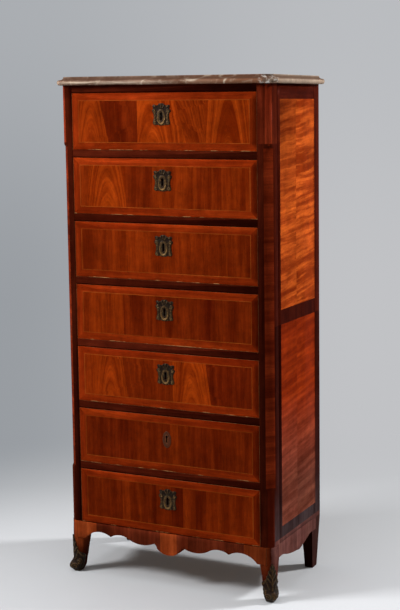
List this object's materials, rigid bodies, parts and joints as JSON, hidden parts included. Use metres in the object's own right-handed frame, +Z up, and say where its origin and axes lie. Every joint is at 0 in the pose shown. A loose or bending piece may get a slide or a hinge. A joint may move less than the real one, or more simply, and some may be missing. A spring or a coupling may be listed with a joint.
{
  "type": "semainier",
  "caption": "Tall narrow chest of equal stacked drawers with a moulded marble top, canted corners, short cabriole front legs in metal shoes and a scalloped apron; the drawers slide and lock.",
  "frame": {"origin": "floor level, under the middle of the marble slab", "axes": "+X to the right as seen from the front, +Y to the back, +Z up"},
  "size_m": [0.682, 0.3496, 1.4274],
  "materials": {
    "drawer_veneer": "polished veneer",
    "carcase_veneer": "polished veneer",
    "oak": "bare",
    "marble": "polished",
    "bronze": "dark patina",
    "iron": "filed"
  },
  "bodies": {
    "carcase": {"marble_top": "marble", "left_side_panel": "carcase_veneer", "right_side_panel": "carcase_veneer", "left_front_post": "carcase_veneer", "right_front_post": "carcase_veneer", "left_rear_post": "carcase_veneer", "right_rear_post": "carcase_veneer", "back_panel": "oak", "carcase_top": "oak", "carcase_bottom": "oak", "drawer_rails": "carcase_veneer", "dust_boards": "oak", "drawer_runners": "oak", "drawer_stops": "oak", "front_apron": "carcase_veneer", "side_aprons": "carcase_veneer", "left_sabot": "bronze", "right_sabot": "bronze"},
    "drawer_1": {"drawer_1_front": "drawer_veneer", "drawer_1_box": "oak", "drawer_1_bottom": "oak", "drawer_1_escutcheon": "bronze", "drawer_1_lock": "iron"},
    "bolt_1": {"drawer_1_bolt": "iron"},
    "drawer_2": {"drawer_2_front": "drawer_veneer", "drawer_2_box": "oak", "drawer_2_bottom": "oak", "drawer_2_escutcheon": "bronze", "drawer_2_lock": "iron"},
    "bolt_2": {"drawer_2_bolt": "iron"},
    "drawer_3": {"drawer_3_front": "drawer_veneer", "drawer_3_box": "oak", "drawer_3_bottom": "oak", "drawer_3_escutcheon": "bronze", "drawer_3_lock": "iron"},
    "bolt_3": {"drawer_3_bolt": "iron"},
    "drawer_4": {"drawer_4_front": "drawer_veneer", "drawer_4_box": "oak", "drawer_4_bottom": "oak", "drawer_4_escutcheon": "bronze", "drawer_4_lock": "iron"},
    "bolt_4": {"drawer_4_bolt": "iron"},
    "drawer_5": {"drawer_5_front": "drawer_veneer", "drawer_5_box": "oak", "drawer_5_bottom": "oak", "drawer_5_escutcheon": "bronze", "drawer_5_lock": "iron"},
    "bolt_5": {"drawer_5_bolt": "iron"},
    "drawer_6": {"drawer_6_front": "drawer_veneer", "drawer_6_box": "oak", "drawer_6_bottom": "oak", "drawer_6_escutcheon": "bronze", "drawer_6_lock": "iron"},
    "bolt_6": {"drawer_6_bolt": "iron"},
    "drawer_7": {"drawer_7_front": "drawer_veneer", "drawer_7_box": "oak", "drawer_7_bottom": "oak", "drawer_7_escutcheon": "bronze", "drawer_7_lock": "iron"},
    "bolt_7": {"drawer_7_bolt": "iron"}
  },
  "joints": [
    {"name": "drawer_1_slide", "type": "slide", "parent": "carcase", "child": "drawer_1", "axis": [0, -1, 0], "range_m": [0, 0.235]},
    {"name": "bolt_1_throw", "type": "slide", "parent": "drawer_1", "child": "bolt_1", "axis": [0, 0, 1], "range_m": [0, 0.008]},
    {"name": "drawer_2_slide", "type": "slide", "parent": "carcase", "child": "drawer_2", "axis": [0, -1, 0], "range_m": [0, 0.235]},
    {"name": "bolt_2_throw", "type": "slide", "parent": "drawer_2", "child": "bolt_2", "axis": [0, 0, 1], "range_m": [0, 0.008]},
    {"name": "drawer_3_slide", "type": "slide", "parent": "carcase", "child": "drawer_3", "axis": [0, -1, 0], "range_m": [0, 0.235]},
    {"name": "bolt_3_throw", "type": "slide", "parent": "drawer_3", "child": "bolt_3", "axis": [0, 0, 1], "range_m": [0, 0.008]},
    {"name": "drawer_4_slide", "type": "slide", "parent": "carcase", "child": "drawer_4", "axis": [0, -1, 0], "range_m": [0, 0.235]},
    {"name": "bolt_4_throw", "type": "slide", "parent": "drawer_4", "child": "bolt_4", "axis": [0, 0, 1], "range_m": [0, 0.008]},
    {"name": "drawer_5_slide", "type": "slide", "parent": "carcase", "child": "drawer_5", "axis": [0, -1, 0], "range_m": [0, 0.235]},
    {"name": "bolt_5_throw", "type": "slide", "parent": "drawer_5", "child": "bolt_5", "axis": [0, 0, 1], "range_m": [0, 0.008]},
    {"name": "drawer_6_slide", "type": "slide", "parent": "carcase", "child": "drawer_6", "axis": [0, -1, 0], "range_m": [0, 0.235]},
    {"name": "bolt_6_throw", "type": "slide", "parent": "drawer_6", "child": "bolt_6", "axis": [0, 0, 1], "range_m": [0, 0.008]},
    {"name": "drawer_7_slide", "type": "slide", "parent": "carcase", "child": "drawer_7", "axis": [0, -1, 0], "range_m": [0, 0.235]},
    {"name": "bolt_7_throw", "type": "slide", "parent": "drawer_7", "child": "bolt_7", "axis": [0, 0, 1], "range_m": [0, 0.008]}
  ]
}
